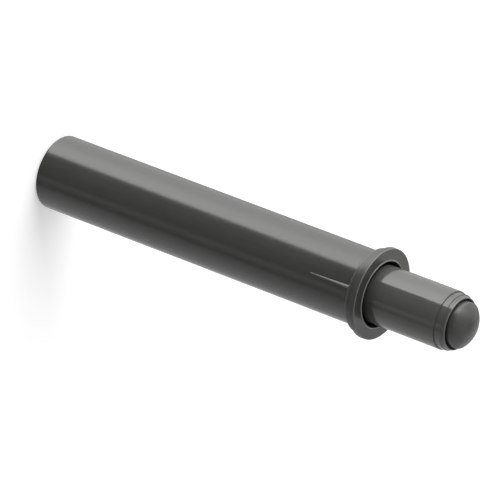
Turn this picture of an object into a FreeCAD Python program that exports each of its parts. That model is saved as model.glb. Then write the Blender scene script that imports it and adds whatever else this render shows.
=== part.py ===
import FreeCAD, Part
import math
import os
from types import SimpleNamespace
import Sketcher

# Soft close damper for a cabinet door, in millimetres.
# A push-in sleeve holds a round plunger. The plunger is an oil cylinder that slides over a rod,
# and the rod snaps into the bottom of the sleeve. Z is the axis: the closed end of the sleeve
# stands at height 0 and the plunger points up.

SIZES = {
    # Sleeve
    "tube_dia": 9.85,              # tube that goes into the drilled hole
    "tube_length": 50.0,           # tube below the collar, the depth of the hole
    "sleeve_wall": 0.795,
    "floor_thickness": 1.2,        # closed end
    "collar_overhang": 0.625,      # ring that rests on the rim of the hole
    "collar_height": 1.0,
    "collar_edge": 0.22,
    "flange_overhang": 0.45,       # front disc, beyond the collar
    "flange_thickness": 0.78,
    "flange_edge": 0.06,
    "mouth_chamfer": 0.42,
    "mouth_chamfer_depth": 0.15,
    "tube_end_edge": 0.25,
    "rib_count": 3,                # crush ribs that grip the hole
    "rib_length": 6.4,
    "rib_height": 0.2,
    "rib_width": 0.34,
    "rib_tip_height": 0.03,
    "rib_tip_width": 0.1,
    "rib_root_depth": 0.1,
    # Socket in the bottom of the sleeve
    "socket_height": 2.0,
    "socket_lead": 0.35,
    "socket_bead": 0.22,
    "bead_level": 0.8,
    "bead_height": 0.4,
    "slit_width": 0.4,
    "slit_reach": 2.4,
    "slit_count": 4,
    # Clearances
    "plunger_clearance": 0.28,     # plunger in the sleeve, the dark gap at the mouth
    "running_gap": 0.04,           # rod in its bush, socket and seal
    "press_gap": 0.01,             # pieces pushed or snapped together
    "side_gap": 0.05,              # rings in their grooves
    # Plunger
    "stroke": 11.85,               # how far the nose stands out of the flange
    "end_gap": 0.4,                # left under the plunger when it is fully in
    "plunger_wall": 0.91,
    "skirt_wall": 0.66,             # thinner wall round the seals
    "skirt_chamfer": 0.25,
    "nose_step": 0.16,             # first step of the nose, inwards
    "nose_step_height": 0.88,      # from its bevel to the next one
    "nose_bevel": 0.3,             # height of its slope
    "lip_step": 0.11,              # second step
    "lip_step_height": 0.7,
    "lip_bevel": 0.2,
    "lip_taper": 0.13,             # from there to the end of the lip
    "lip_wall": 0.18,              # thin lip round the bumper
    "recess_depth": 1.0,
    "nose_wall": 2.2,              # solid front behind the recess
    # Bumper
    "bumper_gap": 0.25,
    "bumper_shoulder": 0.7,        # straight side above the lip
    "crown_height": 1.31,
    "crown_edge": 0.12,
    "stem_dia": 2.4,
    "stem_length": 1.4,
    "stem_chamfer": 0.2,
    "stem_hole_spare": 0.15,
    # Rod
    "rod_dia": 2.0,
    "rod_chamfer": 0.25,
    "rod_groove": 0.3,
    "tenon_step": 0.3,
    "clip_groove": 0.2,
    "tenon_spare": 0.7,            # end of the rod above its clip
    # Piston
    "support_overhang": 1.3,       # washer under the piston, beyond the rod
    "support_thickness": 0.3,
    "piston_length": 2.8,
    "piston_clearance": 0.08,
    "piston_groove": 0.55,
    "ring_level": 1.0,
    "ring_height": 0.8,
    "ring_depth": 0.5,
    "ring_clearance": 0.03,
    "ring_split": 0.5,             # opening of the split ring
    "hub_wall": 0.45,
    "seat_land": 0.25,
    "port_dia": 0.7,
    "port_count": 3,
    # Valve
    "valve_thickness": 0.25,
    "valve_gap": 0.08,
    "valve_lift": 0.3,
    "retainer_thickness": 0.5,
    "retainer_rim": 0.1,
    "clip_thickness": 0.3,
    "clip_reach": 0.95,
    "clip_slot_width": 0.35,
    "clip_slot_count": 3,
    # Spring
    "wire_dia": 0.36,
    "spring_clearance": 0.5,
    "spring_turns": 5,             # open turns, between a closed half turn at each end
    "wire_flats": 4,
    "seat_thickness": 0.3,
    "seat_rim_height": 0.7,
    "seat_hole_dia": 2.2,
    # End cap, seals and foam in the back of the plunger
    "inset": 0.5,
    "snap_ring_thickness": 0.5,
    "snap_ring_groove": 0.25,
    "snap_ring_reach": 0.35,
    "snap_ring_split": 2.1,
    "cap_length": 3.0,
    "cap_seal_height": 0.7,
    "cap_seal_depth": 0.6,
    "bush_wall": 0.5,
    "bush_flange": 0.5,
    "bush_flange_thickness": 0.4,
    "seal_height": 1.4,
    "seal_notch_depth": 0.8,
    "seal_notch_width": 0.7,
    "seal_washer_thickness": 0.4,
    "washer_gap": 0.15,
    "foam_length": 5.0,
    "foam_gap": 0.2,
    "plate_thickness": 0.8,
    "plate_gap": 0.3,              # the oil's way past the rod
}

os.makedirs("parts", exist_ok=True)
doc = FreeCAD.newDocument("soft_close_damper")
sheet = doc.addObject("Spreadsheet::Sheet", "Sizes")
for row, (alias, number) in enumerate(SIZES.items(), start=1):
    sheet.set(f"A{row}", alias)
    sheet.set(f"B{row}", str(number))
    sheet.setAlias(f"B{row}", alias)
doc.recompute()


class Length:
    """A size: its value now, and the formula that ties it to the sheet."""

    def __init__(self, value, formula):
        self.value = value
        self.formula = formula

    def __add__(self, other):
        other = length(other)
        return Length(self.value + other.value, f"({self.formula} + {other.formula})")

    def __sub__(self, other):
        other = length(other)
        return Length(self.value - other.value, f"({self.formula} - {other.formula})")

    def __mul__(self, number):
        return Length(self.value * number, f"({self.formula} * {number})")

    def __truediv__(self, other):
        other = length(other)
        return Length(self.value / other.value, f"({self.formula} / {other.formula})")

    def __neg__(self):
        return Length(-self.value, f"(-{self.formula})")


def length(number):
    """A plain number as a Length, and a Length as it is."""
    return number if isinstance(number, Length) else Length(float(number), str(number))


def least(one, other):
    """The smaller of two lengths, for an edge that its wall may limit."""
    return Length(min(one.value, other.value), f"min({one.formula}; {other.formula})")


dim = SimpleNamespace(**{alias: Length(number, "Sizes." + alias) for alias, number in SIZES.items()})


def bind(thing, prop, size):
    """Ties a property to its sizes."""
    thing.setExpression(prop, length(size).formula)


def origin_plane(body, role):
    """One of the body's own origin planes."""
    return next(plane for plane in body.Origin.OriginFeatures if plane.Role == role)


def new_body(name, level):
    """An empty body that stands at a level on the Z axis."""
    body = doc.addObject("PartDesign::Body", name)
    body.Label = name
    bind(body, "Placement.Base.z", level)
    return body


def new_sketch(body, name, role, level=0):
    """A sketch on one of the body's origin planes, or raised above it."""
    sketch = body.newObject("Sketcher::SketchObject", name)
    sketch.AttachmentSupport = [(origin_plane(body, role), "")]
    sketch.MapMode = "FlatFace"
    bind(sketch, "AttachmentOffset.Base.z", level)
    return sketch


def tie(sketch, geometry, point, across, up):
    """Ties a point of the sketch to its two coordinates."""
    for kind, axis, size in (("DistanceX", -2, across), ("DistanceY", -1, up)):
        size = length(size)
        if size.value == 0:
            sketch.addConstraint(Sketcher.Constraint("PointOnObject", geometry, point, axis))
        else:
            index = sketch.addConstraint(
                Sketcher.Constraint(kind, -1, 1, geometry, point, size.value))
            sketch.setExpression(f"Constraints[{index}]", size.formula)


def draw_outline(sketch, corners, domed=False):
    """A closed outline of straight lines, each corner tied to its sizes.

    A domed one ends in an arc up to its last corner, centred on the Z axis.
    """
    places = [FreeCAD.Vector(length(across).value, length(up).value, 0) for across, up in corners]
    for index, place in enumerate(places):
        end = places[(index + 1) % len(places)]
        if domed and index == len(corners) - 2:
            rise = end.y - place.y
            radius = (place.x ** 2 + rise ** 2) / (2 * rise)
            centre = FreeCAD.Vector(0, end.y - radius, 0)
            circle = Part.Circle(centre, FreeCAD.Vector(0, 0, 1), radius)
            from_axis = math.atan2(place.y - centre.y, place.x)
            sketch.addGeometry(Part.ArcOfCircle(circle, from_axis, math.pi / 2), False)
            sketch.addConstraint(Sketcher.Constraint("PointOnObject", index, 3, -2))
        else:
            sketch.addGeometry(Part.LineSegment(place, end), False)
    for index, (across, up) in enumerate(corners):
        last = (index - 1) % len(corners)
        sketch.addConstraint(Sketcher.Constraint("Coincident", last, 2, index, 1))
        tie(sketch, index, 1, across, up)


def draw_circle(sketch, radius, across=0):
    """A circle centred on the sketch's X axis."""
    centre = FreeCAD.Vector(length(across).value, 0, 0)
    index = sketch.addGeometry(Part.Circle(centre, FreeCAD.Vector(0, 0, 1), radius.value), False)
    tie(sketch, index, 3, across, 0)
    fixed = sketch.addConstraint(Sketcher.Constraint("Radius", index, radius.value))
    sketch.setExpression(f"Constraints[{fixed}]", radius.formula)


def turned(name, level, corners, sweep=360, domed=False):
    """A body turned about Z from an outline of (radius, height) corners."""
    body = new_body(name, level)
    sketch = new_sketch(body, name + "_outline", "XZ_Plane")
    draw_outline(sketch, corners, domed)
    turn = body.newObject("PartDesign::Revolution", name + "_turn")
    turn.Profile = sketch
    turn.ReferenceAxis = (sketch, ["V_Axis"])
    bind(turn, "Angle", sweep)
    return body


def split_ring(name, level, inner, outer, height, split):
    """A flat ring that is open by a width along its outside."""
    sweep = length(360) - split / outer * math.degrees(1)
    return turned(name, level, [(inner, 0), (outer, 0), (outer, height), (inner, height)], sweep)


def washer(name, level, inner, outer, thickness):
    """A flat ring, stamped from sheet."""
    body = new_body(name, level)
    sketch = new_sketch(body, name + "_outline", "XY_Plane")
    draw_circle(sketch, outer)
    draw_circle(sketch, inner)
    pad = body.newObject("PartDesign::Pad", name + "_pad")
    pad.Profile = sketch
    bind(pad, "Length", thickness)
    return body


def pattern(body, feature, count):
    """Repeats a feature round the Z axis."""
    polar = body.newObject("PartDesign::PolarPattern", feature.Name + "_pattern")
    polar.Originals = [feature]
    polar.Axis = (origin_axis(body), [""])
    polar.Angle = 360
    bind(polar, "Occurrences", count)
    body.Tip = polar
    return polar


def origin_axis(body):
    """The body's own Z axis."""
    return next(axis for axis in body.Origin.OriginFeatures if axis.Role == "Z_Axis")


def drill(body, radius, circle, count):
    """Holes right through a body, on a circle about the Z axis."""
    sketch = new_sketch(body, body.Label + "_port", "XY_Plane")
    draw_circle(sketch, radius, circle)
    pocket = body.newObject("PartDesign::Pocket", body.Label + "_ports")
    pocket.Profile = sketch
    pocket.SideType = "Symmetric"
    pocket.Type = "ThroughAll"
    pattern(body, pocket, count)


def slot(body, reach, low, high, width, count):
    """Slots from the axis out to a reach, between two heights."""
    sketch = new_sketch(body, body.Label + "_slot", "XZ_Plane")
    draw_outline(sketch, [(0, low), (reach, low), (reach, high), (0, high)])
    pocket = body.newObject("PartDesign::Pocket", body.Label + "_slots")
    pocket.Profile = sketch
    pocket.SideType = "Symmetric"
    bind(pocket, "Length", width)
    pattern(body, pocket, count)


def ease_edges(body, name, size, *rims):
    """Chamfers the circular edges that lie at the given (radius, height) places."""
    doc.recompute()
    base = body.Tip
    names = []
    for index, edge in enumerate(base.Shape.Edges, start=1):
        if edge.Degenerated or not isinstance(edge.Curve, Part.Circle):
            continue
        curve = edge.Curve
        for rim, height in rims:
            near = abs(curve.Radius - rim.value) < 1e-4
            if near and abs(curve.Center.z - length(height).value) < 1e-4:
                names.append(f"Edge{index}")
    chamfer = body.newObject("PartDesign::Chamfer", name)
    chamfer.Base = (base, names)
    bind(chamfer, "Size", size)
    body.Tip = chamfer


# Radii, from the outside inwards
tube_radius = dim.tube_dia / 2
collar_radius = tube_radius + dim.collar_overhang
flange_radius = collar_radius + dim.flange_overhang
bore_radius = tube_radius - dim.sleeve_wall
plunger_radius = bore_radius - dim.plunger_clearance
work_radius = plunger_radius - dim.plunger_wall
skirt_radius = plunger_radius - dim.skirt_wall
step_radius = plunger_radius - dim.nose_step
lip_radius = step_radius - dim.lip_step
rim_radius = lip_radius - dim.lip_taper
recess_radius = rim_radius - dim.lip_wall
bumper_radius = recess_radius - dim.bumper_gap
rod_radius = dim.rod_dia / 2
tenon_radius = rod_radius - dim.tenon_step
hub_radius = tenon_radius + dim.hub_wall
spring_radius = work_radius - dim.spring_clearance - dim.wire_dia / 2
stem_radius = dim.stem_dia / 2

# Heights, from the bottom up
seat_level = dim.tube_length
face_level = seat_level + dim.collar_height + dim.flange_thickness
floor_level = dim.floor_thickness
socket_top = floor_level + dim.socket_height
plunger_level = socket_top + dim.end_gap + dim.stroke
snap_ring_level = plunger_level + dim.inset
cap_level = snap_ring_level + dim.snap_ring_thickness
seal_level = cap_level + dim.cap_length
seal_washer_level = seal_level + dim.seal_height
foam_level = seal_washer_level + dim.seal_washer_thickness
plate_level = foam_level + dim.foam_length
support_level = plate_level + dim.plate_thickness
piston_level = support_level + dim.support_thickness
valve_level = piston_level + dim.piston_length
retainer_level = valve_level + dim.valve_thickness + dim.valve_lift
clip_level = retainer_level + dim.retainer_thickness
nose_level = face_level + dim.stroke
recess_level = nose_level - dim.recess_depth
front_level = recess_level - dim.nose_wall
spring_top = front_level - dim.seat_thickness


def outer_sleeve():
    """Moulded sleeve: blind tube, collar, flange and crush ribs."""
    mouth_level = face_level - dim.mouth_chamfer_depth
    body = turned("outer_sleeve", 0, [
        (0, 0),
        (tube_radius, 0),
        (tube_radius, seat_level),
        (collar_radius, seat_level),
        (collar_radius, seat_level + dim.collar_height),
        (flange_radius, seat_level + dim.collar_height),
        (flange_radius, face_level),
        (bore_radius + dim.mouth_chamfer, face_level),
        (bore_radius, mouth_level),
        (bore_radius, floor_level),
        (0, floor_level),
    ])
    ease_edges(body, "tube_end_edge", dim.tube_end_edge, (tube_radius, 0))
    ease_edges(body, "collar_edge", least(dim.collar_edge, dim.collar_height / 2),
                (collar_radius, seat_level))
    ease_edges(body, "flange_edge", least(dim.flange_edge, dim.flange_thickness / 3),
                (flange_radius, face_level))
    # Each rib is lofted from a small section low on the tube to a full one under the collar.
    sections = []
    for end, level, height, width in (
            ("tip", seat_level - dim.rib_length, dim.rib_tip_height, dim.rib_tip_width),
            ("head", seat_level, dim.rib_height, dim.rib_width)):
        sketch = new_sketch(body, "rib_" + end, "XY_Plane", level)
        root = tube_radius - dim.rib_root_depth
        draw_outline(sketch, [
            (-width / 2, -root),
            (0, -(tube_radius + height)),
            (width / 2, -root),
        ])
        sections.append(sketch)
    rib = body.newObject("PartDesign::AdditiveLoft", "rib")
    rib.Profile = sections[0]
    rib.Sections = sections[1:]
    rib.Ruled = True
    pattern(body, rib, dim.rib_count)
    return body


def rod_socket():
    """Snap socket that holds the foot of the rod, pressed into the bottom of the sleeve."""
    top = dim.socket_height
    outer = bore_radius - dim.press_gap
    bore = rod_radius + dim.running_gap
    bead = bore - dim.socket_bead
    body = turned("rod_socket", floor_level, [
        (bore, 0),
        (outer, 0),
        (outer, top),
        (bore + dim.socket_lead, top),
        (bore, top - dim.socket_lead),
        (bore, dim.bead_level + dim.bead_height),
        (bead, dim.bead_level + dim.bead_height),
        (bead, dim.bead_level),
        (bore, dim.bead_level),
    ])
    slot(body, dim.slit_reach, dim.bead_level / 2, top, dim.slit_width, dim.slit_count)
    return body


def piston_rod():
    """Turned steel rod: snap groove at the foot, shoulder and tenon for the piston."""
    groove_low = dim.bead_level - dim.side_gap
    groove_high = dim.bead_level + dim.bead_height + dim.side_gap
    groove = rod_radius - dim.rod_groove
    shoulder = support_level - floor_level
    clip_low = clip_level - floor_level
    clip_high = clip_low + dim.clip_thickness
    clip_groove = tenon_radius - dim.clip_groove
    end = clip_high + dim.tenon_spare
    return turned("piston_rod", floor_level, [
        (0, 0),
        (rod_radius - dim.rod_chamfer, 0),
        (rod_radius, dim.rod_chamfer),
        (rod_radius, groove_low),
        (groove, groove_low),
        (groove, groove_high),
        (rod_radius, groove_high),
        (rod_radius, shoulder),
        (tenon_radius, shoulder),
        (tenon_radius, clip_low),
        (clip_groove, clip_low),
        (clip_groove, clip_high),
        (tenon_radius, clip_high),
        (tenon_radius, end),
        (0, end),
    ])


def piston_support_washer():
    """Steel washer between the rod's shoulder and the plastic piston."""
    return washer("piston_support_washer", support_level, tenon_radius + dim.press_gap,
                  rod_radius + dim.support_overhang, dim.support_thickness)


def piston_head():
    """Moulded piston: ring groove outside, flow ports under the valve disc."""
    outer = work_radius - dim.piston_clearance
    groove = outer - dim.piston_groove
    ring_top = dim.ring_level + dim.ring_height
    port_circle = hub_radius + dim.seat_land + dim.port_dia / 2
    top = dim.piston_length
    body = turned("piston_head", piston_level, [
        (tenon_radius + dim.press_gap, 0),
        (outer, 0),
        (outer, dim.ring_level),
        (groove, dim.ring_level),
        (groove, ring_top),
        (outer, ring_top),
        (outer, top),
        (tenon_radius + dim.press_gap, top),
    ])
    drill(body, dim.port_dia / 2, port_circle, dim.port_count)
    return body


def piston_seal_ring():
    """Split ring that closes the gap between piston and cylinder."""
    outer = work_radius - dim.ring_clearance
    level = piston_level + dim.ring_level + dim.side_gap
    return split_ring("piston_seal_ring", level, outer - dim.ring_depth, outer,
                      dim.ring_height - dim.side_gap * 2, dim.ring_split)


def valve_disc():
    """Thin disc that shuts the piston's ports when the plunger is pressed."""
    outer = hub_radius + dim.seat_land + dim.port_dia + dim.seat_land
    return washer("valve_disc", valve_level, hub_radius + dim.valve_gap, outer,
                  dim.valve_thickness)


def valve_retainer():
    """Hub and disc that guide the valve disc and carry the spring."""
    lift = dim.valve_thickness + dim.valve_lift
    outer = spring_radius + dim.wire_dia / 2 + dim.retainer_rim
    bore = tenon_radius + dim.press_gap
    return turned("valve_retainer", valve_level, [
        (bore, 0),
        (hub_radius, 0),
        (hub_radius, lift),
        (outer, lift),
        (outer, lift + dim.retainer_thickness),
        (bore, lift + dim.retainer_thickness),
    ])


def rod_clip():
    """Push-on clip in the rod's end groove, over the valve retainer."""
    inner = tenon_radius - dim.clip_groove + dim.press_gap
    outer = inner + dim.clip_reach
    body = washer("rod_clip", clip_level, inner, outer, dim.clip_thickness)
    slot(body, inner + dim.clip_reach / 2, 0, dim.clip_thickness, dim.clip_slot_width,
         dim.clip_slot_count)
    return body


def return_spring():
    """Wire spring with closed ends, from the valve retainer to the front seat."""
    # Every half turn is a half circle that tilts up to the next one, level where they join.
    wire = dim.wire_dia.value / 2
    radius = spring_radius.value
    span = (spring_top - clip_level).value
    open_halves = int(dim.spring_turns.value) * 2
    closed_rise = wire
    open_rise = (span - wire * 2 - closed_rise * 2) / open_halves
    rises = [closed_rise] + [open_rise] * open_halves + [closed_rise]
    side = 1
    start = FreeCAD.Vector(radius, 0, wire)
    halves = []
    for rise in rises:
        end = FreeCAD.Vector(-side * radius, 0, start.z + rise)
        reach = start.distanceToPoint(end) / 2
        middle = (start + end) / 2 + FreeCAD.Vector(0, side * reach, 0)
        halves.append(Part.Arc(start, middle, end).toShape())
        start = end
        side = -side
    # The flats lie inside the round wire, so the section may turn as it follows the coil.
    flats = int(dim.wire_flats.value)
    corners = []
    for index in range(flats + 1):
        turn = 2 * math.pi * (index + 0.5) / flats
        corners.append(FreeCAD.Vector(
            radius + wire * math.sin(turn), 0, wire + wire * math.cos(turn)))
    section = Part.makePolygon(corners)
    spring = doc.addObject("Part::Feature", "return_spring")
    spring.Shape = Part.Wire(halves).makePipeShell([section], True, True)
    bind(spring, "Placement.Base.z", clip_level)
    return spring


def spring_seat():
    """Pressed cup that centres the spring under the plunger's front."""
    rim = dim.seat_rim_height
    inner = spring_radius + dim.wire_dia / 2 + dim.side_gap
    floor = rim - dim.seat_thickness
    return turned("spring_seat", front_level - rim, [
        (dim.seat_hole_dia / 2, floor),
        (inner, floor),
        (inner, 0),
        (work_radius - dim.side_gap, 0),
        (work_radius - dim.side_gap, rim),
        (dim.seat_hole_dia / 2, rim),
    ])


def plunger_shell():
    """Moulded plunger: oil cylinder open at the back, stepped nose with a bumper recess."""
    top = nose_level - plunger_level
    lip = top - dim.lip_step_height
    step = lip - dim.nose_step_height
    recess = top - dim.recess_depth
    stem = recess - dim.stem_length - dim.stem_hole_spare
    front = recess - dim.nose_wall
    seat = support_level - plunger_level
    groove = snap_ring_level - plunger_level
    groove_radius = skirt_radius + dim.snap_ring_groove
    hole = stem_radius + dim.press_gap
    return turned("plunger_shell", plunger_level, [
        (skirt_radius, 0),
        (plunger_radius - dim.skirt_chamfer, 0),
        (plunger_radius, dim.skirt_chamfer),
        (plunger_radius, step),
        (step_radius, step + dim.nose_bevel),
        (step_radius, lip),
        (lip_radius, lip + dim.lip_bevel),
        (rim_radius, top),
        (recess_radius, top),
        (recess_radius, recess),
        (hole, recess),
        (hole, stem),
        (0, stem),
        (0, front),
        (work_radius, front),
        (work_radius, seat),
        (skirt_radius, seat),
        (skirt_radius, groove + dim.snap_ring_thickness),
        (groove_radius, groove + dim.snap_ring_thickness),
        (groove_radius, groove),
        (skirt_radius, groove),
    ])


def bumper():
    """Soft bumper: domed head above the nose, with a stem pushed into the front."""
    base = dim.stem_length
    shoulder = base + dim.recess_depth + dim.bumper_shoulder
    return turned("bumper", recess_level - base, [
        (0, 0),
        (stem_radius - dim.stem_chamfer, 0),
        (stem_radius, dim.stem_chamfer),
        (stem_radius, base),
        (bumper_radius, base),
        (bumper_radius, shoulder),
        (bumper_radius - dim.crown_edge, shoulder + dim.crown_edge),
        (0, shoulder + dim.crown_height),
    ], domed=True)


def retaining_ring():
    """Open spring-steel ring that snaps into the groove behind the end cap."""
    groove = skirt_radius + dim.snap_ring_groove - dim.press_gap
    return split_ring("retaining_ring", snap_ring_level, skirt_radius - dim.snap_ring_reach,
                      groove, dim.snap_ring_thickness, dim.snap_ring_split)


def end_cap():
    """Moulded cap that closes the cylinder: seal groove outside, bush bore inside."""
    outer = skirt_radius - dim.press_gap
    groove = skirt_radius - dim.cap_seal_depth - dim.press_gap
    low = dim.cap_length / 2 - dim.cap_seal_height / 2
    high = low + dim.cap_seal_height
    bush = rod_radius + dim.running_gap + dim.bush_wall + dim.press_gap
    top = dim.cap_length
    rebate = top - dim.bush_flange_thickness
    return turned("end_cap", cap_level, [
        (bush, 0),
        (outer, 0),
        (outer, low),
        (groove, low),
        (groove, high),
        (outer, high),
        (outer, top),
        (bush + dim.bush_flange, top),
        (bush + dim.bush_flange, rebate),
        (bush, rebate),
    ])


def cap_seal_ring():
    """Square-section rubber ring between the end cap and the cylinder."""
    height = dim.cap_seal_height - dim.side_gap
    level = cap_level + dim.cap_length / 2 - height / 2
    outer = skirt_radius - dim.press_gap
    return washer("cap_seal_ring", level, outer - dim.cap_seal_depth + dim.press_gap, outer, height)


def rod_guide_bush():
    """Flanged bush that guides the rod through the end cap."""
    bore = rod_radius + dim.running_gap
    outer = bore + dim.bush_wall
    top = dim.cap_length
    rebate = top - dim.bush_flange_thickness
    return turned("rod_guide_bush", cap_level, [
        (bore, 0),
        (outer, 0),
        (outer, rebate),
        (outer + dim.bush_flange, rebate),
        (outer + dim.bush_flange, top),
        (bore, top),
    ])


def rod_seal():
    """Rubber lip seal on the rod, its notch facing the oil."""
    bore = rod_radius + dim.running_gap
    outer = skirt_radius - dim.press_gap
    middle = (bore + outer) / 2
    half = dim.seal_notch_width / 2
    top = dim.seal_height
    return turned("rod_seal", seal_level, [
        (bore, 0),
        (outer, 0),
        (outer, top),
        (middle + half, top),
        (middle, top - dim.seal_notch_depth),
        (middle - half, top),
        (bore, top),
    ])


def seal_washer():
    """Washer that keeps the foam off the seal's lips."""
    return washer("seal_washer", seal_washer_level, rod_radius + dim.washer_gap,
                  skirt_radius - dim.press_gap, dim.seal_washer_thickness)


def foam_compensator():
    """Closed-cell foam tube that gives way as the rod takes up room in the oil."""
    return washer("foam_compensator", foam_level, rod_radius + dim.foam_gap,
                  skirt_radius - dim.side_gap, dim.foam_length)


def stop_plate():
    """Plate on the cylinder's step: it holds the foam and stops the piston."""
    return washer("stop_plate", plate_level, rod_radius + dim.plate_gap,
                  skirt_radius - dim.press_gap, dim.plate_thickness)


pieces = [
    outer_sleeve(),
    rod_socket(),
    piston_rod(),
    piston_support_washer(),
    piston_head(),
    piston_seal_ring(),
    valve_disc(),
    valve_retainer(),
    rod_clip(),
    return_spring(),
    spring_seat(),
    plunger_shell(),
    bumper(),
    retaining_ring(),
    end_cap(),
    cap_seal_ring(),
    rod_guide_bush(),
    rod_seal(),
    seal_washer(),
    foam_compensator(),
    stop_plate(),
]
doc.recompute()

for thing in doc.Objects:
    if "Invalid" in thing.State or "Error" in thing.State:
        raise SystemExit(f"{thing.Name} did not build: {thing.State}")
for piece in pieces:
    if piece.Shape.isNull() or not piece.Shape.isValid():
        raise SystemExit(f"{piece.Label} has no valid shape")
    if len(piece.Shape.Solids) != 1:
        raise SystemExit(f"{piece.Label} is {len(piece.Shape.Solids)} solids")
    piece.Shape.exportStep(f"parts/{piece.Label}.step")
    box = piece.Shape.BoundBox
    print(f"{piece.Label}: {piece.Shape.Volume:.2f} mm3, height {box.ZMin:.2f} to {box.ZMax:.2f}")
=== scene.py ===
import math

import bpy
import numpy as np
from mathutils import Matrix, Vector


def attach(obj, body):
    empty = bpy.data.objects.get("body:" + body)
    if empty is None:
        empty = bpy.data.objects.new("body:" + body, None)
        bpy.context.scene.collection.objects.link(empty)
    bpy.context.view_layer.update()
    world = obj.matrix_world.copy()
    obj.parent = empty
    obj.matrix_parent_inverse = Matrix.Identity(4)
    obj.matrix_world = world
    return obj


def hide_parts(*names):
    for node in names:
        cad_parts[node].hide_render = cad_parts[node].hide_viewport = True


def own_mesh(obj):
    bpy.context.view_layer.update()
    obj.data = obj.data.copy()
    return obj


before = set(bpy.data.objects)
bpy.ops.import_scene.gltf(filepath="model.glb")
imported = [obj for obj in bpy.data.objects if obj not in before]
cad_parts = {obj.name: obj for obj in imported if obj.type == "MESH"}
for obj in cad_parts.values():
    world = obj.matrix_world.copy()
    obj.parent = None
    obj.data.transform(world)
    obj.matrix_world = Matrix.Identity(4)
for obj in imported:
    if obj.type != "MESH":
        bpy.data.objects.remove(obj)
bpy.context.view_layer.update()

# Outer sleeve
# One gloss moulding in dark grey plastic: a blind tube, a collar, and a thin flange with a low bead
# round the mouth. It is pressed into a drilled hole, where three crush ribs under the collar grip
# the wood. Its edges carry pale painted highlights, and painted shade darkens the mouth.
MM = 0.001
TUBE_RADIUS = 4.925
BORE_RADIUS = 4.13
COLLAR_RADIUS = 5.55
FLANGE_RADIUS = 6.0
SLEEVE_FLOOR = 1.2
SEAT_LEVEL = 50.0
COLLAR_TOP = 51.0
FACE_LEVEL = 51.72
BEAD_RADIUS = 4.40
BEAD_TOP = 51.8
BEAD_CREST = 0.04                # half the width of the bead's flat crest
BEAD_FOOT = 0.15                 # from the middle of the bead out to the flange's face
MOUTH_INSET = 0.16               # from the middle of the bead in to the bore's lead-in
MOUTH_DEPTH = 0.5                # where the lead-in starts, under the crest
LEAD_DEPTH = 1.0                 # and where it ends
RIB_COUNT = 3
RIB_LENGTH = 6.4
RIB_HEIGHT = 0.2
RIB_HALF_WIDTH = 0.21
RIB_TIP = 0.2                    # height and width at the low end, as a share of the collar's end
RIB_CREST = 0.2                  # how soft the ridge is, as a share of its half width
RIB_SPAN = 2.6                   # degrees to each side of a rib where the mesh is finer
RIB_ANGLE = math.radians(-90)
ROUND_STEPS = 144                # columns of points round a turned piece
FLAT_MARGIN = 1.4                # how far beyond an eased corner its flats are pinned, in reaches
CREASE = math.radians(35)        # faces that meet more sharply than this have a hard edge


def eased(corners, steps=6):
    """Points of a profile given by (radius, height, easing) corners.

    An eased corner becomes an arc that touches both of its sides. The centre lies on the bisector,
    easing / sin(half the corner's angle) away, and the points turn evenly from one side to the
    other. One more point beyond each end of the arc keeps the flat beside it flat.
    """
    points = []
    for index, (radius, height, easing) in enumerate(corners):
        corner = np.array([radius, height])
        if not easing:
            points.append(corner[None])
            continue
        back, ahead = (np.array(corners[index + step][:2]) - corner for step in (-1, 1))
        back, ahead = back / np.linalg.norm(back), ahead / np.linalg.norm(ahead)
        half = np.arccos(back @ ahead) / 2
        reach = easing / np.tan(half)
        middle = (back + ahead) / np.linalg.norm(back + ahead)
        centre = corner + middle * easing / np.sin(half)
        first, last = corner + back * reach - centre, corner + ahead * reach - centre
        turn = np.pi - 2 * half
        share = np.linspace(0, 1, steps + 1)[:, None]
        arc = (np.sin((1 - share) * turn) * first + np.sin(share * turn) * last) / np.sin(turn)
        points += [(corner + back * reach * FLAT_MARGIN)[None], centre + arc,
                   (corner + ahead * reach * FLAT_MARGIN)[None]]
    return np.concatenate(points)


def skin(name, grid):
    """A mesh over rows and columns of points, in millimetres.

    The columns close into a ring. The first and the last row are one point each, a pole, and are
    joined to their neighbours by a fan. Seen from further along the rows, the columns run
    anticlockwise, so the faces point outwards.
    """
    rows, columns = grid.shape[:2]
    points = np.concatenate([grid[0, :1], grid[1:-1].reshape(-1, 3), grid[-1, :1]]) * MM
    here = 1 + np.arange((rows - 2) * columns).reshape(rows - 2, columns)
    beside = np.roll(here, -1, axis=1)
    quads = np.stack([here[:-1], beside[:-1], beside[1:], here[1:]], axis=-1).reshape(-1, 4)
    first = np.stack([np.zeros(columns, int), beside[0], here[0]], axis=-1)
    last = np.stack([here[-1], beside[-1], np.full(columns, len(points) - 1)], axis=-1)
    mesh = bpy.data.meshes.new(name)
    mesh.from_pydata(points.tolist(), [], first.tolist() + quads.tolist() + last.tolist())
    mesh.shade_smooth()
    mesh.set_sharp_from_angle(angle=CREASE)
    piece = bpy.data.objects.new(name, mesh)
    bpy.context.scene.collection.objects.link(piece)
    return piece


def turned(radius, height, angles):
    """Points of a surface turned about Z: (radius cos angle, radius sin angle, height)."""
    radius, height, angles = np.broadcast_arrays(radius, height, angles)
    return np.stack([radius * np.cos(angles), radius * np.sin(angles), height], axis=-1)


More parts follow.
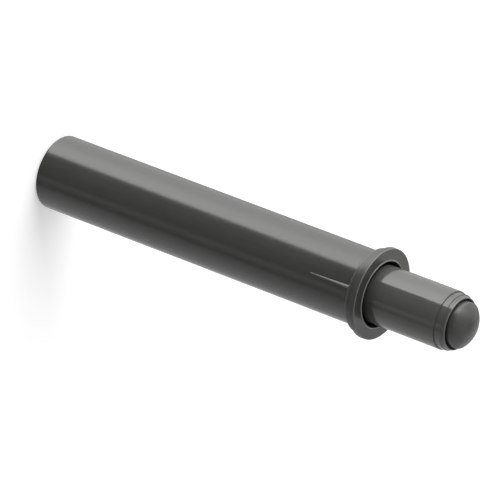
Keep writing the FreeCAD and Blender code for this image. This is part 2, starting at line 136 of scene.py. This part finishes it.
def crush_ribs(height, angles):
    """How far the tube's ribs stand proud at a height and an angle.

    Each rib is a ridge with a soft crest over its middle line. Its height and its width grow evenly
    from the tip up to the collar.
    """
    grown = (height - (SEAT_LEVEL - RIB_LENGTH)) / RIB_LENGTH
    share = np.where(grown < 0, 0, RIB_TIP + (1 - RIB_TIP) * grown)
    part = 2 * math.pi / RIB_COUNT
    aside = (angles - RIB_ANGLE + part / 2) % part - part / 2
    across = aside * TUBE_RADIUS / (RIB_HALF_WIDTH * np.maximum(share, RIB_TIP))
    ridge = np.clip(1 + RIB_CREST - np.sqrt(across ** 2 + RIB_CREST ** 2), 0, None)
    return RIB_HEIGHT * share * ridge


ROUND = np.linspace(0, 2 * math.pi, ROUND_STEPS, endpoint=False)
rib_middles = RIB_ANGLE + 2 * math.pi / RIB_COUNT * np.arange(RIB_COUNT)
near_rib = np.radians(np.linspace(-RIB_SPAN, RIB_SPAN, 27))
at_ribs = (rib_middles[:, None] + near_rib).ravel() % (2 * math.pi)
sleeve_angles = np.unique(np.round(np.concatenate([ROUND, at_ribs]), 6))
plain_heights = np.linspace(2, SEAT_LEVEL - RIB_LENGTH - 0.1, 16)
ribbed_heights = np.linspace(SEAT_LEVEL - RIB_LENGTH - 0.01, SEAT_LEVEL, 34)
sleeve_profile = eased(
    [(0, 0, 0), (TUBE_RADIUS, 0, 0.25)]
    + [(TUBE_RADIUS, height, 0) for height in (*plain_heights, *ribbed_heights)]
    + [
        (COLLAR_RADIUS, SEAT_LEVEL, 0.08),
        (COLLAR_RADIUS, COLLAR_TOP, 0.04),
        (FLANGE_RADIUS, COLLAR_TOP, 0.06),
        (FLANGE_RADIUS, FACE_LEVEL, 0.1),
        (BEAD_RADIUS + BEAD_FOOT, FACE_LEVEL, 0.03),
        (BEAD_RADIUS + BEAD_CREST, BEAD_TOP, 0.03),
        (BEAD_RADIUS - BEAD_CREST, BEAD_TOP, 0.03),
        (BEAD_RADIUS - MOUTH_INSET, BEAD_TOP - MOUTH_DEPTH, 0.1),
        (BORE_RADIUS, BEAD_TOP - LEAD_DEPTH, 0.1),
        (BORE_RADIUS, SLEEVE_FLOOR, 0.15),
        (0, SLEEVE_FLOOR, 0),
    ])
across, up = sleeve_profile[:, :1], sleeve_profile[:, 1:]
outside = (across > TUBE_RADIUS - 0.01) & (up <= SEAT_LEVEL)
across = across + np.where(outside, crush_ribs(up, sleeve_angles), 0)
sleeve = skin("sleeve", turned(across, up, sleeve_angles))


class Wire:
    """What comes out of a shader node. Arithmetic on it adds Math nodes to its tree."""

    def __init__(self, tree, socket=None):
        self.tree, self.socket = tree, socket

    def node(self, kind, settings, sockets, result=0):
        """Adds a node: its settings first, then a value or a wire for each of its sockets."""
        made = self.tree.nodes.new(kind)
        for name, setting in settings.items():
            if name == "stops":
                ramp = made.color_ramp
                while len(ramp.elements) < len(setting):
                    ramp.elements.new(1)
                for element, (share, grey) in zip(ramp.elements, setting):
                    element.position, element.color = share, (grey, grey, grey, 1)
            else:
                setattr(made, name, setting)
        for name, value in sockets.items():
            if isinstance(value, Wire):
                self.tree.links.new(value.socket, made.inputs[name])
            else:
                made.inputs[name].default_value = value
        return Wire(self.tree, made.outputs[result]) if made.outputs else made

    def maths(self, operation, *values):
        """Adds a Math node that works on the values."""
        return self.node("ShaderNodeMath", {"operation": operation}, dict(enumerate(values)))

    def __add__(self, other):
        return self.maths("ADD", self, other)

    def __sub__(self, other):
        return self.maths("SUBTRACT", self, other)

    def __rsub__(self, other):
        return self.maths("SUBTRACT", other, self)

    def __mul__(self, other):
        return self.maths("MULTIPLY", self, other)

    __radd__, __rmul__ = __add__, __mul__

    def root(self):
        return self.maths("SQRT", self)

    def above(self, limit):
        """1 where this value is over the limit, and 0 elsewhere."""
        return self.maths("GREATER_THAN", self, limit)

    def below(self, limit):
        """1 where this value is under the limit, and 0 elsewhere."""
        return self.maths("LESS_THAN", self, limit)

    def part(self, letter):
        """The X, Y or Z of this vector."""
        return self.node("ShaderNodeSeparateXYZ", {}, {0: self}, letter)

    def between(self, low, high):
        """A colour that goes from low to high as this value goes from 0 to 1."""
        low, high = (end if isinstance(end, Wire) else (*end, 1) for end in (low, high))
        return self.node("ShaderNodeMix", {"data_type": "RGBA"}, {0: self, 6: low, 7: high}, 2)


def new_finish(name):
    """An empty material, and the object coordinates that its pattern is worked out from."""
    material = bpy.data.materials.new(name)
    material.use_nodes = True
    material.node_tree.nodes.clear()
    return material, Wire(material.node_tree).node("ShaderNodeTexCoord", {}, {}, "Object")


def grain(place, size, detail=2.0, stretch=(1, 1, 1)):
    """Noise from 0 to 1 whose lumps are about size millimetres across, drawn out by stretch."""
    scale = tuple(1 / (size * MM * drawn) for drawn in stretch)
    spread = place.node("ShaderNodeMapping", {}, {"Vector": place, "Scale": scale})
    return place.node("ShaderNodeTexNoise", {}, {"Vector": spread, "Scale": 1.0, "Detail": detail})


def dress(material, colour, roughness, relief, depth, metallic=0.0):
    """Puts the finish together: relief is a height from 0 to 1, depth its depth in millimetres."""
    bump = colour.node("ShaderNodeBump", {}, {"Height": relief, "Distance": depth * MM})
    shader = colour.node("ShaderNodeBsdfPrincipled", {}, {
        "Base Color": colour, "Roughness": roughness, "Normal": bump, "Metallic": metallic})
    colour.node("ShaderNodeOutputMaterial", {}, {"Surface": shader})
    return material


EDGE_HIGHLIGHT = (0.2, 0.2, 0.19)        # the pale grey of a painted edge highlight
# Near black, painted on as shade in the mouth's gap.
GAP_SHADE = (0.008, 0.008, 0.007)
GAP_SHADE_DULLNESS = 0.3            # what the painted shade's mask and the mould's grain add to the roughness
GRAIN_DULLNESS = 0.17
PEEL_DEPTH = 0.0045


def painted_edge_highlights(radius, height, edges):
    """1 along a round edge that gets a painted highlight, falling to 0 at its width from there.

    radius and height are those of the place. Each edge is a radius, a height and a width in
    millimetres, and how strongly its highlight is painted.
    """
    edge_highlight = 0
    for ring, level, width, share in edges:
        aside, along = radius - ring * MM, height - level * MM
        away = (aside * aside + along * along).root() * (1 / (width * MM))
        edge_highlight = edge_highlight + away.maths("MAXIMUM", 1 - away, 0) * share
    return edge_highlight


def moulded_plastic(name, dark, light, gloss, edges, painted_shade_limits, dull=None):
    """Gloss moulded plastic: cloudy pigment, fine specks, a soft peel and faint lengthwise rubs.

    The edges are round edges that get pale lines of painted highlight. Painted shade darkens what
    lies inside a radius and below a height, and makes it duller too. Between the two heights in
    dull, the mould's grain makes it duller. All of them are in millimetres.
    """
    material, place = new_finish(name)
    x, y, height = (place.part(letter) for letter in "XYZ")
    radius = (x * x + y * y).root()
    cloud = grain(place, 4.0, 3)
    specks = grain(place, 0.12)
    rubs = grain(place, 0.25, 2, (1, 1, 30))
    peel = grain(place, 0.9)
    roughness = gloss + cloud * 0.05 + rubs * 0.05
    if dull:
        low, high = (level * MM for level in dull)
        roughness = roughness + height.above(low) * height.below(high) * GRAIN_DULLNESS
    within, under = (limit * MM for limit in painted_shade_limits)
    film_and_shade = radius.below(within) * height.below(under)
    pigment = (cloud * 0.5 + specks * 0.3 + rubs * 0.2).between(dark, light)
    edge_highlight = painted_edge_highlights(radius, height, edges).between(pigment, EDGE_HIGHLIGHT)
    return dress(material, film_and_shade.between(edge_highlight, GAP_SHADE), roughness + film_and_shade * GAP_SHADE_DULLNESS,
                 peel * 0.8 + specks * 0.2, PEEL_DEPTH)


def put_on(piece, material):
    """Gives a piece its finish: a new piece takes it on its mesh, a CAD node in its slots."""
    if piece.material_slots:
        for slot in piece.material_slots:
            slot.material = material
    else:
        piece.data.materials.append(material)


# Pale lines of painted highlight on the flange's front edge, the bead and the collar's foot, and
# painted shade inside the bore below the bead.
put_on(sleeve, moulded_plastic(
    "sleeve_plastic", (0.026, 0.026, 0.024), (0.045, 0.045, 0.042), 0.17,
    [(FLANGE_RADIUS, FACE_LEVEL, 0.15, 0.7), (BEAD_RADIUS + 0.08, BEAD_TOP - 0.03, 0.12, 0.9),
     (COLLAR_RADIUS, SEAT_LEVEL, 0.2, 0.4)],
    (BEAD_RADIUS - 0.05, BEAD_TOP - 0.05), (SEAT_LEVEL, FACE_LEVEL - 0.03)))
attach(sleeve, "sleeve")
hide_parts("outer_sleeve")

# Rod socket, piston and its ring, valve retainer, valve disc, spring seat and end cap
# The small moulded parts of the damper, in natural white acetal, dull from the tool. The socket is
# pressed into the sleeve, piston and retainer sit on the rod, and the cap shuts the plunger.


def acetal_finish():
    """Natural acetal: slightly translucent white with soft clouds, and dull tool marks."""
    material, place = new_finish("acetal")
    cloud = grain(place, 1.5, 3)
    marks = grain(place, 0.1, 3)
    colour = cloud.between((0.66, 0.66, 0.62), (0.82, 0.82, 0.79))
    return dress(material, colour, 0.34 + marks * 0.16, marks, 0.006)


acetal = acetal_finish()
for name in ("rod_socket", "piston_head", "valve_retainer", "valve_disc", "spring_seat", "end_cap",
             "piston_seal_ring"):
    put_on(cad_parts[name], acetal)

# Piston rod, support washer, clip, retaining ring, seal washer and stop plate
# Turned and stamped steel. The rod snaps into the socket, washer and clip hold the piston on it,
# and the ring, washer and plate keep cap, seal and foam in the back of the plunger.


def steel_finish(name, dark, light, roughness):
    """Bright steel, with fine rings from turning and a thin film of oil that lies unevenly."""
    material, place = new_finish(name)
    rings = grain(place, 0.03, 2, (40, 40, 1))
    film_and_shade = grain(place, 1.2, 3)
    colour = (rings * 0.4 + film_and_shade * 0.6).between(dark, light)
    return dress(material, colour, roughness + rings * 0.14 + film_and_shade * 0.1, rings, 0.002, 1.0)


steel = steel_finish("steel", (0.50, 0.50, 0.51), (0.70, 0.70, 0.69), 0.16)
for name in ("piston_rod", "piston_support_washer", "rod_clip", "retaining_ring", "seal_washer",
             "stop_plate"):
    put_on(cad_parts[name], steel)

# Return spring
# Round drawn spring wire, oiled, wound with a closed turn at each end. It stands on the valve
# retainer and pushes the plunger out. The real one shortens as the plunger goes in; this mesh keeps
# its length and moves with the rod.
SPRING_BASE = 31.2
SPRING_TOP = 60.13
SPRING_RADIUS = 2.26
WIRE_RADIUS = 0.18
SPRING_TURNS = 7
STEPS_PER_TURN = 48
CLOSED_PITCH = 0.03              # of the end turns, as a share of the open ones
CLOSED_TURNS = 0.14              # how far the wire lies flat at each end, before it starts to open
OPENING_TURNS = 0.7              # and over how many turns it opens
BLUNTING = 0.8                   # how wide the wire still is where its blunt end starts

turn = np.linspace(0, SPRING_TURNS, SPRING_TURNS * STEPS_PER_TURN)
opened = np.clip((np.minimum(turn, SPRING_TURNS - turn) - CLOSED_TURNS) / OPENING_TURNS, 0, 1)
pitch = CLOSED_PITCH + opened ** 2 * (3 - 2 * opened)
climb = np.concatenate([[0], np.cumsum((pitch[1:] + pitch[:-1]) / 2)])
spring_height = np.interp(climb / climb[-1], (0, 1),
                          (SPRING_BASE + WIRE_RADIUS, SPRING_TOP - WIRE_RADIUS))


def wound_wire(turn, height, radius, thickness, sides=14):
    """A round wire carried along a coil, with blunt ends.

    Its middle line is (radius cos t, radius sin t, height). Each ring of points lies square to the
    line's direction, round the outward and the upward way there. The end rings shrink to a point.
    """
    swing = turn * 2 * np.pi
    line = np.stack([radius * np.cos(swing), radius * np.sin(swing), height], axis=-1)
    along = np.gradient(line, axis=0)
    along /= np.linalg.norm(along, axis=1, keepdims=True)
    outward = np.stack([np.cos(swing), np.sin(swing), 0 * swing], axis=-1)
    upward = np.cross(along, outward)
    line, outward, upward = (np.pad(way, ((2, 2), (0, 0)), mode="edge")
                             for way in (line, outward, upward))
    reach = np.full(len(line), thickness)
    reach[[0, -1]] = 0
    reach[[1, -2]] = thickness * BLUNTING
    side = np.linspace(0, 2 * np.pi, sides, endpoint=False)[:, None]
    ring = np.cos(side) * outward[:, None] + np.sin(side) * upward[:, None]
    return line[:, None] + reach[:, None, None] * ring


spring = skin("spring", wound_wire(turn, spring_height, SPRING_RADIUS, WIRE_RADIUS))
put_on(spring, steel_finish("spring_steel", (0.36, 0.36, 0.38), (0.52, 0.52, 0.54), 0.2))
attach(spring, "rod")
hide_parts("return_spring")
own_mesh(spring)

# Plunger
# One gloss moulding in the sleeve's dark grey, a shade paler. Its nose steps in twice to a thin lip
# round the bumper. Behind the solid front it is the oil cylinder, with a thinner skirt at the back.
PLUNGER_RADIUS = 3.85
STEP_RADIUS = 3.69
LIP_RADIUS = 3.58
RIM_RADIUS = 3.45
RECESS_RADIUS = 3.27
HOLE_RADIUS = 1.21
WORK_RADIUS = 2.94
SKIRT_RADIUS = 3.19
GROOVE_RADIUS = 3.44
REAR_CHAMFER = 0.25
SHOULDER_RISE = 0.04
REAR_LEVEL = 15.45
GROOVE_FOOT, GROOVE_TOP = 15.95, 16.45
WORK_FOOT, WORK_TOP = 27.05, 60.43
HOLE_FLOOR = 61.08
STEP_LEVEL = 62.18
RECESS_LEVEL = 62.63
LIP_LEVEL = 63.02
NOSE_LEVEL = 63.63

plunger_profile = eased([
    (0, WORK_TOP, 0),
    (WORK_RADIUS, WORK_TOP, 0.15),
    (WORK_RADIUS, WORK_FOOT, 0.03),
    (SKIRT_RADIUS, WORK_FOOT, 0.03),
    (SKIRT_RADIUS, GROOVE_TOP, 0.03),
    (GROOVE_RADIUS, GROOVE_TOP, 0.03),
    (GROOVE_RADIUS, GROOVE_FOOT, 0.03),
    (SKIRT_RADIUS, GROOVE_FOOT, 0.03),
    (SKIRT_RADIUS, REAR_LEVEL, 0.05),
    (PLUNGER_RADIUS - REAR_CHAMFER, REAR_LEVEL, 0.05),
    (PLUNGER_RADIUS, REAR_LEVEL + REAR_CHAMFER, 0.08),
    (PLUNGER_RADIUS, STEP_LEVEL, 0.05),
    (STEP_RADIUS, STEP_LEVEL + SHOULDER_RISE, 0.03),
    (STEP_RADIUS, LIP_LEVEL, 0.04),
    (LIP_RADIUS, LIP_LEVEL + SHOULDER_RISE, 0.02),
    (RIM_RADIUS, NOSE_LEVEL, 0.07),
    (RECESS_RADIUS, NOSE_LEVEL, 0.06),
    (RECESS_RADIUS, RECESS_LEVEL, 0.08),
    (HOLE_RADIUS, RECESS_LEVEL, 0.05),
    (HOLE_RADIUS, HOLE_FLOOR, 0.08),
    (0, HOLE_FLOOR, 0),
])
plunger = skin("plunger", turned(plunger_profile[:, :1], plunger_profile[:, 1:], ROUND))
# A pale line of painted highlight on the lip's rim, and painted shade on the wall below the
# sleeve's face, where it stands in the mouth's gap.
put_on(plunger, moulded_plastic(
    "plunger_plastic", (0.044, 0.044, 0.041), (0.063, 0.063, 0.0585), 0.09,
    [(RIM_RADIUS, NOSE_LEVEL, 0.2, 0.45)], (PLUNGER_RADIUS + 1, FACE_LEVEL - 0.1)))
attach(plunger, "plunger")
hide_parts("plunger_shell")

# Bumper
# A soft dome of satin grey rubber that meets the door. Its stem is pushed into the plunger's front
# and holds it, with a narrow gap left all round in the recess.
BUMPER_RADIUS = 3.02
WALL_HEIGHT = 0.5
CROWN_TOP = 65.64
CROWN_RADIUS = 4.13              # of the ball that the dome is cut from
SHOULDER_EASING = 0.25
STEM_RADIUS = 1.2
STEM_CHAMFER = 0.2
STEM_FOOT = 61.23


def dome(steps=30):
    """Points of the dome, from its side wall to its top.

    An arc of the shoulder's easing touches the wall and the inside of the ball, and from there the
    ball's own arc goes on to the axis. The arcs meet where the line of both centres leads.
    """
    middle = CROWN_TOP - CROWN_RADIUS
    inset = BUMPER_RADIUS - SHOULDER_EASING
    lift = middle + math.sqrt((CROWN_RADIUS - SHOULDER_EASING) ** 2 - inset ** 2)
    meet = math.atan2(lift - middle, inset)
    low = np.linspace(0, meet, steps // 3)
    high = np.linspace(meet, math.pi / 2, steps)[1:]
    shoulder = np.stack([inset + SHOULDER_EASING * np.cos(low),
                         lift + SHOULDER_EASING * np.sin(low)], axis=-1)
    crown = np.stack([CROWN_RADIUS * np.cos(high), middle + CROWN_RADIUS * np.sin(high)], axis=-1)
    return np.concatenate([shoulder, crown])


bumper_profile = np.concatenate([
    eased([
        (0, STEM_FOOT, 0),
        (STEM_RADIUS - STEM_CHAMFER, STEM_FOOT, 0.06),
        (STEM_RADIUS, STEM_FOOT + STEM_CHAMFER, 0.06),
        (STEM_RADIUS, RECESS_LEVEL, 0.06),
        (BUMPER_RADIUS, RECESS_LEVEL, 0.12),
        (BUMPER_RADIUS, RECESS_LEVEL + WALL_HEIGHT, 0),
    ]),
    dome()])
bumper_profile[-1, 0] = 0
bumper = skin("bumper_dome", turned(bumper_profile[:, :1], bumper_profile[:, 1:], ROUND))


def bumper_finish():
    """Satin rubber: even grey with a fine moulded tooth, and a trace of pale dust."""
    material, place = new_finish("bumper_rubber")
    cloud = grain(place, 1.6, 3)
    tooth = grain(place, 0.09, 3)
    dust = place.node("ShaderNodeValToRGB", {"stops": [(0.62, 0), (0.78, 1)]},
                      {"Fac": grain(place, 0.22, 1)})
    colour = (cloud * 0.7 + dust * 0.3).between((0.035, 0.035, 0.033), (0.054, 0.054, 0.0515))
    return dress(material, colour, 0.27 + tooth * 0.14, tooth, 0.008)


put_on(bumper, bumper_finish())
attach(bumper, "plunger")
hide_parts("bumper")

# Cap seal ring and rod seal
# Matt black rubber, pressed in dry: the ring between end cap and cylinder, and the lip seal round
# the rod that keeps the oil in.


def seal_finish():
    """Matt rubber with a fine tooth and a slight bloom."""
    material, place = new_finish("seal_rubber")
    bloom = grain(place, 0.8, 3)
    tooth = grain(place, 0.06, 3)
    colour = bloom.between((0.014, 0.014, 0.014), (0.032, 0.032, 0.031))
    return dress(material, colour, 0.62 + tooth * 0.2, tooth, 0.008)


seal_rubber = seal_finish()
for name in ("cap_seal_ring", "rod_seal"):
    put_on(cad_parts[name], seal_rubber)

# Rod guide bush
# A flanged bush of sintered bronze, pressed into the cap. Its fine pores hold the oil.
BRONZE_GRAINS = 11000.0          # to the metre


def bronze_finish():
    """Sintered bronze: packed grains, with dark pores between them."""
    material, place = new_finish("bush_bronze")
    grains = place.node("ShaderNodeTexVoronoi", {}, {"Vector": place, "Scale": BRONZE_GRAINS},
                        "Distance")
    tone = grain(place, 0.6, 3)
    pores = place.node("ShaderNodeValToRGB", {"stops": [(0.45, 1), (0.75, 0)]}, {"Fac": grains})
    colour = (pores * 0.7 + tone * 0.3).between((0.20, 0.13, 0.06), (0.62, 0.42, 0.22))
    return dress(material, colour, 0.5 - pores * 0.15 + tone * 0.1, pores, 0.012, 1.0)


put_on(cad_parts["rod_guide_bush"], bronze_finish())

# Foam compensator
# A tube of closed-cell foam in the oil, between stop plate and seal washer. It gives way as the rod
# takes up room in the cylinder.
FOAM_CELLS = 4200.0              # to the metre


def foam_finish():
    """Closed-cell foam: small round cells with thin walls that catch the light."""
    material, place = new_finish("foam")
    cells = place.node("ShaderNodeTexVoronoi", {}, {"Vector": place, "Scale": FOAM_CELLS},
                       "Distance")
    tone = grain(place, 1.0, 3)
    colour = (cells * 0.7 + tone * 0.3).between((0.07, 0.07, 0.078), (0.17, 0.17, 0.18))
    return dress(material, colour, 0.85 + tone * 0.1, cells, 0.06)


put_on(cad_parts["foam_compensator"], foam_finish())

# Floor
# A plain white table. The camera sees it almost white, and it keeps the damper's soft shadow. Light
# from the low half of the side lamp and mirrored rays pass it, as on a glass light table.
FLOOR_HALF = 0.6
FLOOR_WHITE = (0.86, 0.86, 0.86, 1)
FLOOR_GLOW = 0.3

floor_mesh = bpy.data.meshes.new("floor")
floor_mesh.from_pydata([(-FLOOR_HALF, -FLOOR_HALF, 0), (FLOOR_HALF, -FLOOR_HALF, 0),
                        (FLOOR_HALF, FLOOR_HALF, 0), (-FLOOR_HALF, FLOOR_HALF, 0)], [],
                       [(0, 1, 2, 3)])
floor = bpy.data.objects.new("floor", floor_mesh)
bpy.context.scene.collection.objects.link(floor)
table, table_place = new_finish("table")
seen = table_place.node("ShaderNodeLightPath", {}, {}, "Is Camera Ray")
matt = table_place.node("ShaderNodeBsdfDiffuse", {}, {"Color": FLOOR_WHITE})
glow = table_place.node("ShaderNodeEmission", {}, {"Strength": seen * FLOOR_GLOW})
both = table_place.node("ShaderNodeAddShader", {}, {0: matt, 1: glow})
table_place.node("ShaderNodeOutputMaterial", {}, {"Surface": both})
floor_mesh.materials.append(table)
floor.visible_glossy = False
floor.visible_shadow = False

# Room and lamps
# A dim room, white to the camera. A wide softbox at the side makes the long highlight, a sheet
# opposite lifts the far edge, and a small one behind lights the flange's face. A strip in front
# gives the faint line, and one lamp hangs above.
ROOM_LIGHT = 0.128

world = bpy.data.worlds.new("room")
bpy.context.scene.world = world
world.use_nodes = True
world.node_tree.nodes.clear()
sky = Wire(world.node_tree)
seen = sky.node("ShaderNodeLightPath", {}, {}, "Is Camera Ray")
room = sky.node("ShaderNodeBackground", {}, {
    "Color": (1, 1, 1, 1), "Strength": ROOM_LIGHT + seen * (1 - ROOM_LIGHT)})
sky.node("ShaderNodeOutputWorld", {}, {"Surface": room})


def lamp(name, bearing, level, distance, size, brightness, fall=None):
    """A flat softbox that faces the damper, or faces down where it hangs straight above.

    bearing is its direction round Z in degrees from +X, and level its centre's height in metres.
    brightness is its radiance, where 1 mirrors as white. fall is how it dims across its width: the
    radiance at each share of the width.
    """
    light = bpy.data.lights.new(name, "AREA")
    light.shape = "RECTANGLE"
    light.size, light.size_y = size
    light.energy = 4 * size[0] * size[1] * brightness
    light.use_nodes = True
    light.node_tree.nodes.clear()
    tree = Wire(light.node_tree)
    strength = 1.0
    if fall:
        across = tree.node("ShaderNodeNewGeometry", {}, {}, "Parametric").part("X")
        strength = tree.node("ShaderNodeValToRGB", {"stops": fall}, {"Fac": across})
    glow = tree.node("ShaderNodeEmission", {}, {"Strength": strength})
    tree.node("ShaderNodeOutputLight", {}, {"Surface": glow})
    turn = math.radians(bearing)
    hung = bpy.data.objects.new(name, light)
    hung.location = (distance * math.cos(turn), distance * math.sin(turn), level)
    if distance:
        inwards = Vector((0, 0, level)) - hung.location
        hung.rotation_euler = inwards.to_track_quat("-Z", "Y").to_euler()
    hung.visible_camera = False
    bpy.context.scene.collection.objects.link(hung)


# The side of the damper that is uppermost in the photograph faces a bearing of 172.5 degrees, and
# the camera stands at -97.5.
lamp("side_softbox", 159.5, 0.1, 0.5, (1.7, 1.7), 4.6,
     [(0.0, 0.05), (0.245, 0.13), (0.34, 0.185), (0.42, 0.23), (0.54, 0.4), (0.68, 0.72),
      (0.78, 0.82), (0.94, 0.97), (1.0, 0.97)])
lamp("far_sheet", 25, 0.1, 0.6, (3.0, 1.8), 0.75,
     [(0.0, 0.3), (0.116, 0.42), (0.317, 0.68), (0.417, 0.85), (0.509, 0.72), (0.604, 0.68),
      (0.85, 0.55), (1.0, 0.4)])
lamp("back_sheet", 82.5, 0.45, 0.7, (0.8, 0.75), 0.24)
lamp("front_strip", -56, -0.3, 0.6, (0.22, 0.9), 0.42, [(0.0, 1.0), (1.0, 0.3)])
lamp("top_softbox", 0, 0.9, 0, (1.0, 1.0), 0.45)

# Camera
# At the photograph's place: a long lens that looks 31.5 degrees down on the standing damper, rolled
# so that its axis runs down to the right across the picture.
FOCAL_PIXELS = 5250
PICTURE_PIXELS = 500
SENSOR = 36.0
NEAREST, FARTHEST = 0.05, 20                     # metres that the camera sees between
AIM_LEVEL = 51.63                                # a point of the axis, and where it is from the
AIM_PLACE = np.array([16.40, 5.507, 654.5])      # camera: right, down and ahead
AXIS_TURN = 0.364                                # of the axis, down to the right in the picture
AXIS_TILT = 0.549                                # and towards the camera, both in radians
RIB_TURN = math.radians(97.5)                    # from the picture's upper side round to one rib

axis_z = np.array([math.cos(AXIS_TILT) * math.cos(AXIS_TURN),
                   math.cos(AXIS_TILT) * math.sin(AXIS_TURN), -math.sin(AXIS_TILT)])
upper_side = np.array([math.sin(AXIS_TURN), -math.cos(AXIS_TURN), 0])
near_side = np.cross(axis_z, upper_side)
axis_y = -(math.cos(RIB_TURN) * upper_side + math.sin(RIB_TURN) * near_side)
axis_x = np.cross(axis_y, axis_z)
axes = np.stack([axis_x, axis_y, axis_z])        # rows: the damper's axes as the camera sees them
camera_place = np.array([0, 0, AIM_LEVEL]) - axes @ AIM_PLACE
right, down, ahead = axes.T
camera_data = bpy.data.cameras.new("camera")
camera_data.sensor_width = SENSOR
camera_data.lens = FOCAL_PIXELS / PICTURE_PIXELS * SENSOR
camera_data.clip_start, camera_data.clip_end = NEAREST, FARTHEST
camera = bpy.data.objects.new("camera", camera_data)
camera.matrix_world = Matrix([
    [right[row], -down[row], -ahead[row], camera_place[row] * MM] for row in range(3)
] + [[0, 0, 0, 1]])
bpy.context.scene.collection.objects.link(camera)
bpy.context.scene.camera = camera
bpy.context.scene.view_settings.view_transform = "Standard"
